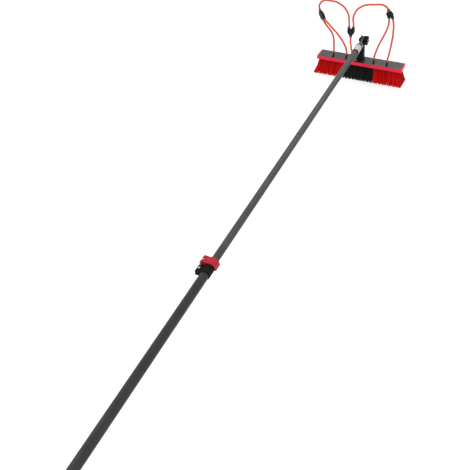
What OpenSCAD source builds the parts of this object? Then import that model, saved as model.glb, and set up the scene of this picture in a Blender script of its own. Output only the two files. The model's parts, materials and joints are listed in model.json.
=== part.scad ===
// Water-fed window cleaning pole with a brush head, lying at rest: the brush stands on its bristles
// and the foot of the pole lies on the same floor. Millimetres, +Z up, +X along the brush, pole towards -Y.

/* [Brush] */
// Length of the brush stock
stock_l = 406; // [340:1:460]
// Depth of the brush stock, front to back
stock_w = 80; // [70:0.5:90]
// Height of the brush stock
stock_h = 15.5; // [14:0.5:20]
// Corner radius of the stock
stock_corner_r = 6; // [2:0.5:12]
// Thickness of the top plate
plate_t = 2.5; // [1.5:0.1:3]
// Red margin left at each end of the top plate
plate_end_margin = 5; // [3:0.5:10]
// Red margin left in front of and behind the top plate
plate_side_margin = 2; // [1:0.5:4]
// How far the top plate stands above the red rim
plate_proud = 0.6; // [0:0.1:1]
// Free length of the bristles
bristle_len = 70; // [55:1:85]
// How far the end bristles lean out along the brush
tip_flare_x = 10; // [4:0.5:16]
// How far the front and back bristles lean out
tip_flare_y = 8; // [3:0.5:12]
// Thickness of the slice that holds the bristles
slab_t = 3; // [2:0.5:4]
// Bare margin at each end of the bristle field
field_end_margin = 9.25; // [7:0.25:12]
// Bare margin in front of and behind the bristle field
field_side_margin = 8; // [6:0.5:10]
// Width of one bristle strand where it leaves the slice
strand_w = 5.2; // [4:0.1:5.6]
// Width of one bristle strand at its tip
strand_tip_w = 5.9; // [4:0.1:6.2]

/* [Socket] */
// Height of the hinge axis above the top plate
hinge_h = 94.5; // [90:0.5:112]
// Width of the socket's foot block
block_w = 42; // [38:1:52]
// How far the foot block reaches in front of the hinge
block_front = 37; // [34:0.5:38]
// How far the tongue of the foot block reaches behind the hinge
block_back = 27; // [25:0.5:34]
// Height of the socket's foot block
block_h = 7; // [6:0.5:10]
// Width of the socket tower at its foot
tower_w = 30; // [28:1:38]
// How far the tower's foot reaches in front of the hinge
tower_front = 25; // [22:0.5:27]
// How far the tower's foot reaches behind the hinge
tower_back = 12; // [10:0.5:15]
// Half the depth of the tower below the ears
waist = 13; // [11:0.25:14]
// Thickness of each fork ear
ear_t = 4.5; // [4:0.25:6]
// Radius of the fork ears round the hinge
ear_r = 20; // [18.5:0.25:22]
// Height of the round boss that holds the bolt's head
head_boss_t = 7; // [4:0.25:8]
// Height of the socket below the hinge where the taper of its width ends
taper_drop = 36; // [33:0.5:40]
// Depth of the fork slot below the hinge
slot_drop = 37; // [36:0.5:42]

/* [Hinge] */
// How far the pole's axis runs below the hinge axis
axis_drop = 4; // [0:0.25:5]
// Thickness of the lug on the neck
lug_t = 8; // [7:0.25:12]
// Radius of the lug
lug_r = 18; // [15:0.25:18.4]
// Diameter of the hinge bolt
bolt_d = 8; // [6:0.5:9]
// Thickness of a friction washer
friction_washer_t = 0.9; // [0.6:0.1:1.5]
// Thickness of the washer under the knob
thrust_washer_t = 1.2; // [0.8:0.1:2.5]
// Overall radius of the star knob
knob_r = 22; // [18:0.25:25]
// Thickness of the star of the knob
knob_t = 11; // [9:0.5:16]
// Height of the knob's boss
knob_boss_h = 1.5; // [1:0.25:5]
// Number of lobes on the knob
knob_lobes = 6; // [5:1:8]
// Radius of one knob lobe
lobe_r = 5.5; // [4.5:0.25:6.5]

/* [Pole] */
// Outer diameter of the upper tube
upper_d = 25; // [24:0.25:26]
// Wall of the upper tube
upper_wall = 1.5; // [1.2:0.1:2]
// Length of the upper tube
upper_len = 1720; // [1700:5:1900]
// Wall of the lower tube
lower_wall = 1.75; // [1.4:0.05:2.2]
// Length of the lower tube
lower_len = 1801; // [1700:1:1950]
// Distance from the hinge to the upper tube's end
tube_start = 68; // [56:1:76]
// Length of the upper tube held in the clamp and the lower tube at rest
engaged = 183; // [150:1:210]
// Running gap on each side of the upper tube in the lower tube
bore_gap = 0.25; // [0.15:0.05:0.4]
// Length of the foot cap below the tube
foot_flange_t = 12; // [8:1:20]
// Depth of the foot cap inside the tube
foot_spigot = 35; // [25:1:50]

/* [Sleeve and neck] */
// Length of the white sleeve
sleeve_len = 48; // [36:1:54]
// Outer diameter of the white sleeve
sleeve_d = 32; // [31:0.5:36]
// Wall of the white sleeve
sleeve_wall = 2; // [1.5:0.1:2.4]
// Width of the black end ring
ring_w = 6; // [4:0.5:8]
// How far the end ring stands out of the sleeve
ring_proud = 1; // [0.5:0.25:2]
// How far the black liner comes out of the sleeve at its lower end
liner_proud = 6; // [2:0.5:8]
// Diameter of the round neck
neck_d = 22; // [20:0.25:22]
// Distance from the hinge to the round neck
neck_start = 34; // [34:0.5:38]
// Length of the neck's shank inside the tube
shank_len = 60; // [50:1:80]

/* [Clamp] */
// Wall of the clamp collar
collar_wall = 2.5; // [2:0.1:4]
// Length of the clamp collar
collar_len = 65; // [62:1:75]
// Thickness of the lip that keeps the guide bush
lip_t = 2; // [1.5:0.25:3]
// Length of the guide bush
bush_len = 19; // [16:0.5:20]
// Thickness of the ring that seals the upper tube
seal_t = 1.9; // [1.5:0.1:2.2]
// Width of the lever along the pole
lever_w = 30; // [28:0.5:31]
// Thickness of the lever's band
band_t = 3.5; // [3:0.25:5]
// Distance from the tube's axis sideways to the lever pin
pin_x = 25; // [24.5:0.25:28]
// Distance from the tube's axis up to the lever pin
pin_y = 13.5; // [13:0.25:15]
// Diameter of the lever pin
pin_d = 8; // [7:0.25:9]
// Radius of the lever's cam
cam_r = 7.5; // [6.75:0.25:8]
// Offset of the cam from the pin
cam_off = 0.8; // [0.5:0.1:1.2]
// Diameter of the tension bolt
tension_d = 6; // [5:0.25:6]
// Diameter of the fixing screw
fixing_d = 5; // [4:0.25:6]
// Width of the slit in the collar
slit = 2; // [1:0.25:2.5]

/* [Water] */
// Outer diameter of the hoses
hose_d = 9; // [8:0.25:10]
// Wall of a fitting round its hose
port_wall = 3; // [2.4:0.1:3.4]
// Distance between the two outlets of a Y fitting
outlet_gap = 20; // [18:0.5:22]
// Half the length of a Y fitting's body
y_half = 19; // [16:0.5:22]
// Length of a release collar
collar_t = 3; // [2.5:0.5:4]
// Height of a jet's body above the top plate
jet_h = 20; // [14:0.5:24]
// Diameter of a jet's shank
jet_shank_d = 6; // [5:0.25:7]
// Distance along the pole from the hinge to the outlet elbow
elbow_start = 150; // [148:1:160]
// Turn of the outlet elbow about the pole, from its left side downwards
elbow_roll = 60; // [45:5:90]
// Length of the elbow's nozzle
nozzle_len = 14; // [12:0.5:18]
// Diameter of the inlet nipple
inlet_d = 16; // [14:0.25:17]
// Length of the inlet nipple
inlet_len = 16; // [12:0.5:22]

/* [Hidden] */
$fn = 48;
hull_fn = 32;

// running and seating clearances
run_gap = 0.05;
seat_gap = 0.1;
loose_gap = 0.3;

// brush levels, measured from the top plate's upper face
stock_top = bristle_len + stock_h;
field_l = stock_l - 2 * field_end_margin;
field_w = stock_w - 2 * field_side_margin;
n_cols = 50;
n_rows = 8;
n_centre = 18;
col_pitch = field_l / n_cols;
row_pitch = field_w / n_rows;
side_cols = (n_cols - n_centre) / 2;
jet_row = 1;
jet_cols = [8, 16, 33, 41];
jet_y = (jet_row + 0.5 - n_rows / 2) * row_pitch;

// hinge stack along X, from the middle out
ear_in = lug_t / 2 + friction_washer_t + 2 * run_gap;
ear_out = ear_in + ear_t;
head_face = ear_out + head_boss_t;
head_boss_r = 10;
knob_seat = ear_out + thrust_washer_t + 2 * run_gap;
knob_end = knob_seat + knob_boss_h + knob_t;
bolt_head_af = bolt_d * 1.625;
bolt_head_r = bolt_head_af / sqrt(3);
bolt_head_t = 5.3;
bolt_recess = 2.5;
insert_r = bolt_d / 2 + 2.5;
insert_len = 10;

// pole radii
upper_r = upper_d / 2;
upper_in = upper_r - upper_wall;
lower_in = upper_r + bore_gap;
lower_r = lower_in + lower_wall;
foot_r = lower_r - 0.2;
tube_bore_r = upper_in - seat_gap;

// places along the pole, measured from the hinge towards the foot
upper_end = tube_start + upper_len;
clamp_start = upper_end - engaged;
lip_end = clamp_start + lip_t;
bush_end = lip_end + bush_len;
seal_mid = bush_end + seat_gap + seal_t / 2;
lower_start = bush_end + 2 * seat_gap + seal_t;
lower_end = lower_start + lower_len;
foot_end = lower_end + foot_flange_t;
collar_end = clamp_start + collar_len;
plug_flange_t = 25;
plug_shank = 40;
washer_t = 1.5;
hex_t = 6;
hex_r = inlet_d * 0.62;
inlet_start = foot_end + washer_t + hex_t;
inlet_end = inlet_start + inlet_len;
inlet_thread_r = inlet_d * 0.4;
inlet_thread_len = 25;

// the pole leans so far that its foot lies on the floor
hinge_z = stock_top + hinge_h;
foot_below = foot_r + axis_drop;
pole_slope = asin(hinge_z / sqrt(pow(foot_end, 2) + pow(foot_below, 2))) - atan(foot_below / foot_end);
half_back = stock_w / 2 + tip_flare_y;
foot_reach = inlet_end * cos(pole_slope) + (inlet_d / 2 - axis_drop) * sin(pole_slope);
head_y = (foot_reach - half_back) / 2;

// clamp levels across the pole
collar_bore_r = lower_r + run_gap;
collar_r = collar_bore_r + collar_wall;
band_in = collar_r + 0.6;
band_out = band_in + band_t;
ear_top = pin_y - cam_off - cam_r - seat_gap;
lug_reach = pin_x + 7;
lug_floor = -8;
lever_start = lip_end + 0.5;
lever_end = lever_start + lever_w;
slot_w = tension_d + 4;
lever_mid = lever_start + lever_w / 2;
fixing_lug = lever_end + 3;
fixing_at = (fixing_lug + collar_end) / 2;

// fittings
port_r = hose_d / 2 + port_wall;
hose_bore_r = hose_d / 2 + 0.2;
water_r = hose_d / 3.2;
ring_t = 1.6;
elbow_dir = [-7 / 25, 0, -24 / 25];
knuckle_x = upper_r + port_r + 0.5;
nozzle_turn = atan2(-elbow_dir[0], -elbow_dir[2]);

// ---------- frames ----------

// origin in the middle of the top plate, over the floor
module on_head() translate([0, head_y, stock_top]) children();

// Z runs down the pole's axis from beside the hinge, Y up across it
module on_pole()
    translate([0, head_y, hinge_z]) rotate([90 + pole_slope, 0, 0]) translate([0, -axis_drop, 0])
        children();

// cylinder between two distances along the pole
module pole_rod(from, to, r) translate([0, 0, from]) cylinder(h = to - from, r = r);

module pole_ring(from, to, r_out, r_in) {
    difference() {
        pole_rod(from, to, r_out);
        pole_rod(from - 1, to + 1, r_in);
    }
}

// round seal of the given section round the pole's axis
module seal_ring(at, r_mid, section_r)
    translate([0, 0, at]) rotate_extrude() translate([r_mid, 0]) circle(r = section_r, $fn = 24);

module rod_x(from, to, r) translate([from, 0, 0]) rotate([0, 90, 0]) cylinder(h = to - from, r = r);

module rounded_plate(l, w, r) {
    square([l - 2 * r, w], center = true);
    square([l, w - 2 * r], center = true);
    for (sx = [-1, 1], sy = [-1, 1])
        translate([sx * (l / 2 - r), sy * (w / 2 - r)]) circle(r = r);
}

// ---------- brush ----------

screw_inset = 5.5;
screw_places = [[block_w / 2 - screw_inset, screw_inset - block_front],
    [screw_inset - block_w / 2, screw_inset - block_front], [0, block_back - screw_inset]];
tongue_w = 16;
screw_r = 2;
screw_head_r = 3.8;
screw_head_t = 2.6;
screw_len = 12;
jet_shank_len = stock_h - slab_t - 2.5;
spray_r = 2;
pocket_gap = 0.25;

function jet_x(k) = (jet_cols[k] + 0.5 - n_cols / 2) * col_pitch;

module at_socket_screws()
    for (at = screw_places) translate(at) children();

module stock_body() {
    color("crimson") on_head() difference() {
        translate([0, 0, -stock_h])
            linear_extrude(stock_h - plate_proud) rounded_plate(stock_l, stock_w, stock_corner_r);
        translate([0, 0, -plate_t - seat_gap]) linear_extrude(plate_t + 1)
            rounded_plate(stock_l - 2 * plate_end_margin, stock_w - 2 * plate_side_margin,
                stock_corner_r - plate_side_margin / 2);
        translate([0, 0, slab_t / 2 - stock_h - 0.5 + pocket_gap / 2])
            cube([field_l + 2 * pocket_gap, field_w + 2 * pocket_gap, slab_t + 1 + pocket_gap],
                center = true);
        at_socket_screws() translate([0, 0, -screw_len]) cylinder(h = screw_len, r = screw_r + run_gap);
        for (k = [0:3]) translate([jet_x(k), jet_y, 0]) {
            translate([0, 0, -jet_shank_len - seat_gap])
                cylinder(h = jet_shank_len + 1, r = jet_shank_d / 2 + run_gap);
            translate([0, 0, -stock_h]) cylinder(h = stock_h, r = spray_r + run_gap);
        }
    }
}

module top_plate() {
    color("dimgray") on_head() difference() {
        translate([0, 0, -plate_t]) linear_extrude(plate_t)
            rounded_plate(stock_l - 2 * plate_end_margin - 2 * seat_gap,
                stock_w - 2 * plate_side_margin - 2 * seat_gap,
                stock_corner_r - plate_side_margin / 2 - seat_gap);
        at_socket_screws() translate([0, 0, -plate_t - 1])
            cylinder(h = plate_t + 2, r = screw_r + run_gap);
        for (k = [0:3]) translate([jet_x(k), jet_y, -plate_t - 1])
            cylinder(h = plate_t + 2, r = jet_shank_d / 2 + run_gap);
    }
}

// Each bristle field is one closed skin over a grid of cells. A cell holds a three-sided strand that
// runs down from the slice, or where a jet sprays, a three-sided hole up through the slice.
function corner_x(i, first, last) =
    (i - n_cols / 2) * col_pitch + (i == first ? seat_gap : i == last ? -seat_gap : 0);
function corner_y(j) = (j - n_rows / 2) * row_pitch;
function middle_x(i) = (i + 0.5 - n_cols / 2) * col_pitch;
function middle_y(j) = (j + 0.5 - n_rows / 2) * row_pitch;
function is_hole(i, j) = j == jet_row && len(search(i, jet_cols)) > 0;

// tips lean out in proportion, and each pair of columns draws together into a tuft
function mirror_col(i) = min(i, n_cols - 1 - i);
function side_of(i) = i < n_cols / 2 ? -1 : 1;
function tuft_pull(i) = mirror_col(i) % 2 == 0 ? -0.5 : 0.5;
function wander(i, j) = 0.35 * sin(mirror_col(i) * 137 + j * 71);
spread_x = (stock_l / 2 + tip_flare_x - strand_tip_w / 2) / ((n_cols - 1) / 2 * col_pitch);
spread_y = (stock_w / 2 + tip_flare_y - strand_tip_w / sqrt(3)) / ((n_rows - 1) / 2 * row_pitch);
function tip_x(i, j) = middle_x(i) * spread_x
    + side_of(i) * (mirror_col(i) == 0 ? 0 : tuft_pull(i) + wander(i, j));
function tip_y(i, j) = middle_y(j) * spread_y + (j == n_rows - 1 ? 0 : wander(i + 3, j + 1));
function tip_lift(i, j) = max(0, 2.4 * sin(mirror_col(i) * 83 + j * 157) - 0.8);

function ring3(x, y, z, w) =
    [for (k = [0:2]) [x + w / sqrt(3) * cos(90 + 120 * k), y + w / sqrt(3) * sin(90 + 120 * k), z]];

module bristle_field(first, last) {
    nx = last - first;
    floor_z = -stock_h - bristle_len;
    row = nx + 1;
    layer = row * (n_rows + 1);
    cell_base = 2 * layer;
    function low(i, j) = i + row * j;
    function high(i, j) = layer + i + row * j;
    function ring(i, j) = cell_base + 6 * (i + nx * j);
    points = concat(
        [for (z = [-stock_h, slab_t - stock_h], j = [0:n_rows], i = [first:last])
            [corner_x(i, first, last), corner_y(j), z]],
        [for (j = [0:n_rows - 1], i = [first:last - 1], p = concat(
            ring3(middle_x(i), middle_y(j), -stock_h, strand_w),
            is_hole(i, j)
                ? ring3(middle_x(i), middle_y(j), slab_t - stock_h, strand_w)
                : ring3(tip_x(i, j), tip_y(i, j), floor_z + tip_lift(i, j), strand_tip_w))) p]);
    // seven triangles join the four corners a, b, c, d of a cell to the ring of three at t
    function cell(a, b, c, d, t) = [[a, b, t + 1], [b, t + 2, t + 1], [b, c, t + 2], [c, t, t + 2],
        [c, d, t], [d, t + 1, t], [d, a, t + 1]];
    function flip(f) = [f[2], f[1], f[0]];
    function tube(t) = [for (k = [0:2], f = [[t + k, t + (k + 1) % 3, t + 3 + (k + 1) % 3],
        [t + k, t + 3 + (k + 1) % 3, t + 3 + k]]) f];
    faces = concat(
        [for (j = [0:n_rows - 1], i = [0:nx - 1],
            f = cell(low(i, j), low(i + 1, j), low(i + 1, j + 1), low(i, j + 1), ring(i, j))) f],
        [for (j = [0:n_rows - 1], i = [0:nx - 1], f = tube(ring(i, j))) f],
        [for (j = [0:n_rows - 1], i = [0:nx - 1]) if (!is_hole(first + i, j))
            [ring(i, j) + 3, ring(i, j) + 4, ring(i, j) + 5]],
        [for (j = [0:n_rows - 1], i = [0:nx - 1], f = is_hole(first + i, j)
            ? [for (g = cell(high(i, j), high(i + 1, j), high(i + 1, j + 1), high(i, j + 1),
                ring(i, j) + 3)) flip(g)]
            : [[high(i, j), high(i + 1, j + 1), high(i + 1, j)],
                [high(i, j), high(i, j + 1), high(i + 1, j + 1)]]) f],
        [for (i = [0:nx - 1], f = [[low(i, 0), high(i, 0), high(i + 1, 0)],
            [low(i, 0), high(i + 1, 0), low(i + 1, 0)],
            [low(i + 1, n_rows), high(i + 1, n_rows), high(i, n_rows)],
            [low(i + 1, n_rows), high(i, n_rows), low(i, n_rows)]]) f],
        [for (j = [0:n_rows - 1], f = [[low(0, j + 1), high(0, j + 1), high(0, j)],
            [low(0, j + 1), high(0, j), low(0, j)],
            [low(nx, j), high(nx, j), high(nx, j + 1)],
            [low(nx, j), high(nx, j + 1), low(nx, j + 1)]]) f]);
    on_head() polyhedron(points = points, faces = faces, convexity = 10);
}

module bristles_left() color("firebrick") bristle_field(0, side_cols);
module bristles_centre() color([0.1, 0.11, 0.11]) bristle_field(side_cols, side_cols + n_centre);
module bristles_right() color("firebrick") bristle_field(side_cols + n_centre, n_cols);

// ---------- socket and hinge ----------

module socket() {
    hinge_top = hinge_h + ear_r;
    taper_z = hinge_h - taper_drop;
    far = 2 * hinge_h;
    color([0.09, 0.09, 0.1]) on_head() difference() {
        union() {
            linear_extrude(block_h) {
                translate([0, -block_front / 2]) rounded_plate(block_w, block_front, 4);
                translate([0, block_back / 2]) rounded_plate(tongue_w, block_back, 4);
                translate([-tongue_w / 2, -4]) square([tongue_w, 8]);
            }
            intersection() {
                // seen from the front
                rotate([90, 0, 0]) translate([0, 0, -far / 2]) linear_extrude(far)
                    polygon([[-tower_w / 2, 0], [tower_w / 2, 0], [ear_out + 1, taper_z],
                        [ear_out, hinge_h - ear_r], [ear_out, hinge_top], [-ear_out, hinge_top],
                        [-ear_out, hinge_h - ear_r], [-ear_out - 1, taper_z]]);
                // seen from the side
                rotate([90, 0, 90]) translate([0, 0, -far / 2]) linear_extrude(far) {
                    translate([0, hinge_h]) circle(r = ear_r);
                    polygon([[-tower_front, 0], [tower_back, 0], [0.7 * waist, taper_z], [0.7 * waist, hinge_h],
                        [-waist, hinge_h], [-waist, taper_z]]);
                }
            }
            translate([0, 0, hinge_h]) rod_x(-head_face, 0, head_boss_r);
        }
        translate([0, 0, hinge_top - (ear_r + slot_drop) / 2 + 1])
            cube([2 * ear_in, 2 * ear_r + 2, ear_r + slot_drop + 2], center = true);
        translate([0, 0, hinge_h]) {
            rod_x(-head_face - 1, ear_out + 1, bolt_d / 2 + run_gap);
            rod_x(-head_face - 5, -head_face + bolt_recess, bolt_head_r + run_gap, $fn = 6);
        }
        at_socket_screws() {
            translate([0, 0, -1]) cylinder(h = block_h + 2, r = screw_r + run_gap);
            translate([0, 0, block_h - screw_head_t]) cylinder(h = hinge_h, r = screw_head_r + loose_gap);
        }
    }
}

module socket_screws() {
    color("silver") on_head() at_socket_screws() {
        translate([0, 0, 0.5 - screw_len]) cylinder(h = screw_len - 0.5 + block_h - screw_head_t, r = screw_r);
        translate([0, 0, block_h - screw_head_t]) cylinder(h = screw_head_t - 0.3, r = screw_head_r);
    }
}

module hinge_bolt() {
    color("silver") on_head() translate([0, 0, hinge_h]) {
        rod_x(-head_face + bolt_recess - 0.5, knob_end - 2, bolt_d / 2);
        translate([-head_face + bolt_recess - bolt_head_t, 0, 0]) rotate([0, 90, 0])
            cylinder(h = bolt_head_t, r = bolt_head_r, $fn = 6);
    }
}

module friction_washers() {
    color("white") on_head() translate([0, 0, hinge_h]) for (side = [-1, 1]) difference() {
        translate([side * (lug_t + friction_washer_t + 2 * run_gap) / 2, 0, 0]) rotate([0, 90, 0])
            cylinder(h = friction_washer_t, r = lug_r - 2, center = true);
        rod_x(-ear_out, ear_out, bolt_d / 2 + run_gap);
    }
}

module thrust_washer() {
    color("silver") on_head() translate([0, 0, hinge_h]) difference() {
        rod_x(ear_out + run_gap, ear_out + run_gap + thrust_washer_t, bolt_d / 2 + 5);
        rod_x(ear_out - 1, knob_seat + 1, bolt_d / 2 + loose_gap);
    }
}

module star_knob() {
    color([0.1, 0.1, 0.11]) on_head() translate([0, 0, hinge_h]) difference() {
        union() {
            rod_x(knob_seat, knob_end, insert_r + 2.5);
            translate([knob_end - knob_t, 0, 0]) rotate([0, 90, 0]) linear_extrude(knob_t) {
                circle(r = knob_r - lobe_r);
                for (k = [0:knob_lobes - 1]) rotate(k * 360 / knob_lobes)
                    translate([knob_r - lobe_r, 0]) circle(r = lobe_r, $fn = 32);
            }
        }
        rod_x(knob_seat - 1, knob_seat + insert_len + 0.5, insert_r + run_gap);
        rod_x(knob_seat, knob_end - 1.5, bolt_d / 2 + run_gap);
    }
}

module knob_insert() {
    color("gold") on_head() translate([0, 0, hinge_h]) difference() {
        rod_x(knob_seat + 0.3, knob_seat + insert_len, insert_r);
        rod_x(knob_seat - 1, knob_seat + insert_len + 1, bolt_d / 2 + run_gap);
    }
}

// ---------- upper section ----------

neck_pin_at = tube_start + shank_len * 0.6;
neck_pin_r = 2;
neck_seal_r = 0.8;

module upper_tube() {
    color([0.25, 0.25, 0.27]) on_pole() difference() {
        pole_ring(tube_start, upper_end, upper_r, upper_in);
        translate([0, 0, neck_pin_at]) rod_x(-upper_d, upper_d, neck_pin_r + run_gap);
        rotate([0, 0, elbow_roll]) translate([0, 0, elbow_start]) rod_x(-upper_d, 0, hose_d / 2 + run_gap);
    }
}

module end_ring() {
    liner_end = tube_start + ring_w + sleeve_len + liner_proud;
    color([0.08, 0.08, 0.08]) on_pole() difference() {
        union() {
            pole_rod(tube_start, tube_start + ring_w, sleeve_d / 2 + ring_proud);
            pole_rod(tube_start, liner_end, sleeve_d / 2 - sleeve_wall - run_gap);
        }
        pole_rod(tube_start - 1, liner_end + 1, upper_r + run_gap);
    }
}

module end_sleeve() {
    color("white") on_pole()
        pole_ring(tube_start + ring_w, tube_start + ring_w + sleeve_len, sleeve_d / 2,
            sleeve_d / 2 - sleeve_wall);
}

module hinge_neck() {
    seal_at = tube_start + shank_len - 6;
    color([0.38, 0.38, 0.4]) on_pole() difference() {
        union() {
            translate([0, axis_drop, 0]) rod_x(-lug_t / 2, lug_t / 2, lug_r);
            translate([-lug_t / 2, 0, 0]) rotate([90, 0, 90]) linear_extrude(lug_t)
                polygon([[axis_drop - lug_r, 0], [axis_drop + lug_r, 0],
                    [neck_d / 2 - 0.5, neck_start + 1], [0.5 - neck_d / 2, neck_start + 1]]);
            pole_rod(neck_start, tube_start, neck_d / 2);
            pole_rod(tube_start - 3, tube_start, upper_r);
            pole_rod(tube_start - 1, tube_start + shank_len, tube_bore_r);
        }
        translate([0, axis_drop, 0]) rod_x(-lug_t, lug_t, bolt_d / 2 + run_gap);
        translate([0, 0, neck_pin_at]) rod_x(-upper_d, upper_d, neck_pin_r + run_gap);
        seal_ring(seal_at, tube_bore_r - neck_seal_r + seat_gap, neck_seal_r + seat_gap);
    }
}

module neck_pin() color("silver") on_pole() translate([0, 0, neck_pin_at])
    rod_x(-upper_r + seat_gap, upper_r - seat_gap, neck_pin_r);

module neck_seal() color([0.07, 0.07, 0.07]) on_pole()
    seal_ring(tube_start + shank_len - 6, tube_bore_r - neck_seal_r + seat_gap, neck_seal_r);

module guide_plug() {
    color("whitesmoke") on_pole() difference() {
        union() {
            pole_rod(upper_end - plug_shank, upper_end, tube_bore_r);
            pole_rod(upper_end, upper_end + plug_flange_t, lower_in - seat_gap);
        }
        pole_rod(upper_end - plug_shank - 1, upper_end + plug_flange_t + 1, upper_in / 2);
        for (k = [1, 2]) piston_ring(k, seat_gap);
    }
}

// ring k of the two that run in the lower tube
module piston_ring(k, extra)
    seal_ring(upper_end + plug_flange_t * k / 3, lower_in - run_gap - neck_seal_r, neck_seal_r + extra);

module piston_rings() color([0.07, 0.07, 0.07]) on_pole() for (k = [1, 2]) piston_ring(k, 0);

// the elbow screws into the tube from below on its left and turns the water back towards the head
module outlet_elbow() {
    color([0.1, 0.1, 0.12]) on_pole() rotate([0, 0, elbow_roll]) difference() {
        union() {
            difference() {
                translate([0, 0, elbow_start]) rod_x(-knuckle_x, -upper_in + 1, port_r);
                pole_rod(elbow_start - 20, elbow_start + 20, upper_r + run_gap);
            }
            translate([0, 0, elbow_start]) {
                rod_x(-knuckle_x, -upper_in + 1, hose_d / 2);
                translate([-knuckle_x, 0, 0]) {
                    sphere(r = port_r);
                    rotate([180, nozzle_turn, 0]) cylinder(h = nozzle_len, r = port_r - 0.5);
                }
            }
        }
        translate([0, 0, elbow_start]) {
            rod_x(-knuckle_x, 0, water_r);
            translate([-knuckle_x, 0, 0]) rotate([180, nozzle_turn, 0])
                cylinder(h = nozzle_len + 1, r = water_r);
        }
    }
}

// ring that holds a hose in its port, standing on the port's face at the origin
module release_collar() {
    difference() {
        union() {
            cylinder(h = collar_t, r = port_r - 1.1);
            translate([0, 0, collar_t - 1.2]) cylinder(h = 1.2, r = port_r - 0.3);
        }
        translate([0, 0, -1]) cylinder(h = collar_t + 2, r = hose_bore_r);
    }
}

module elbow_collar() {
    color("dimgray") on_pole() rotate([0, 0, elbow_roll]) translate([-knuckle_x, 0, elbow_start])
        rotate([180, nozzle_turn, 0]) translate([0, 0, nozzle_len]) release_collar();
}

// ---------- lower section and clamp ----------

// the end under the collar is ground down a little, to take the glue
module lower_tube() {
    color([0.2, 0.2, 0.22]) on_pole() difference() {
        union() {
            pole_rod(lower_start, collar_end + 1, lower_r - loose_gap);
            pole_rod(collar_end, lower_end, lower_r);
        }
        pole_rod(lower_start - 1, lower_end + 1, lower_in);
    }
}

module foot_cap() {
    color([0.1, 0.1, 0.1]) on_pole() difference() {
        union() {
            pole_rod(lower_end - foot_spigot, lower_end, lower_in - seat_gap);
            pole_rod(lower_end, foot_end, foot_r);
        }
        pole_rod(lower_end - foot_spigot - 1, foot_end + 1, inlet_thread_r + run_gap);
        foot_ring(seat_gap);
    }
}

module foot_ring(extra)
    seal_ring(lower_end - foot_spigot + 6, lower_in - neck_seal_r, neck_seal_r + extra);

module foot_seal() color([0.07, 0.07, 0.07]) on_pole() foot_ring(0);

module inlet_washer() color([0.07, 0.07, 0.07]) on_pole()
    pole_ring(foot_end, foot_end + washer_t, hex_r - 1.5, inlet_thread_r + loose_gap);

module inlet_nipple() {
    color("gold") on_pole() difference() {
        union() {
            pole_rod(foot_end - inlet_thread_len, foot_end + washer_t + 1, inlet_thread_r);
            translate([0, 0, foot_end + washer_t]) cylinder(h = hex_t, r = hex_r, $fn = 6);
            pole_rod(inlet_start - 1, inlet_end, inlet_d / 2);
        }
        pole_rod(foot_end - inlet_thread_len - 1, inlet_end + 1, inlet_thread_r - 2);
    }
}

module clamp_body() {
    color([0.1, 0.12, 0.11]) on_pole() difference() {
        union() {
            pole_rod(clamp_start, collar_end, collar_r);
            // ears under the lever
            translate([-lug_reach + 2, lug_floor, lever_start + 1])
                cube([lug_reach - 2, ear_top - lug_floor, lever_w - 2]);
            // lug of the fixing screw
            translate([-lug_reach, lug_floor, fixing_lug])
                cube([lug_reach, -2 * lug_floor, collar_end - fixing_lug]);
        }
        pole_rod(lip_end, collar_end + 1, collar_bore_r);
        pole_rod(clamp_start - 1, lip_end + 1, upper_r + loose_gap);
        translate([-lug_reach - 1, -slit / 2, clamp_start - 1])
            cube([lug_reach, slit, collar_len + 2]);
        translate([-pin_x, lug_floor - 1, lever_mid]) rotate([-90, 0, 0])
            cylinder(h = 30, r = tension_d / 2 + run_gap);
        translate([-pin_x, lug_floor - 1, fixing_at]) rotate([-90, 0, 0])
            cylinder(h = 30, r = fixing_d / 2 + run_gap);
    }
}

module guide_bush() color("whitesmoke") on_pole()
    pole_ring(lip_end, bush_end, lower_r, upper_r + run_gap);

module tube_seal() {
    mid_r = (upper_r + lower_r) / 2;
    color([0.07, 0.07, 0.07]) on_pole() seal_ring(seal_mid, mid_r, min(seal_t, lower_r - upper_r) / 2 - run_gap);
}

module across_bolt(at, from, to, r)
    translate([-pin_x, from, at]) rotate([-90, 0, 0]) cylinder(h = to - from, r = r);

module tension_bolt() {
    color("silver") on_pole()
        across_bolt(lever_mid, lug_floor - 7, pin_y + pin_d / 2 + 1, tension_d / 2);
}

module tension_nut() {
    color("silver") on_pole() difference() {
        translate([-pin_x, lug_floor, lever_mid]) rotate([90, 0, 0])
            cylinder(h = 5, r = tension_d * 0.95, $fn = 6);
        across_bolt(lever_mid, lug_floor - 8, 0, tension_d / 2 + run_gap);
    }
}

module barrel_pin() {
    color("silver") on_pole() difference() {
        translate([-pin_x, pin_y, lever_start]) cylinder(h = lever_w, r = pin_d / 2);
        across_bolt(lever_mid, 0, 3 * pin_y, tension_d / 2 + run_gap);
    }
}

module fixing_screw() {
    color("silver") on_pole() {
        across_bolt(fixing_at, lug_floor - 5, -lug_floor, fixing_d / 2);
        across_bolt(fixing_at, -lug_floor, -lug_floor + 3, fixing_d * 0.85);
    }
}

module fixing_nut() {
    color("silver") on_pole() difference() {
        translate([-pin_x, lug_floor, fixing_at]) rotate([90, 0, 0])
            cylinder(h = 4, r = fixing_d * 0.95, $fn = 6);
        across_bolt(fixing_at, lug_floor - 8, 0, fixing_d / 2 + run_gap);
    }
}

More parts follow.
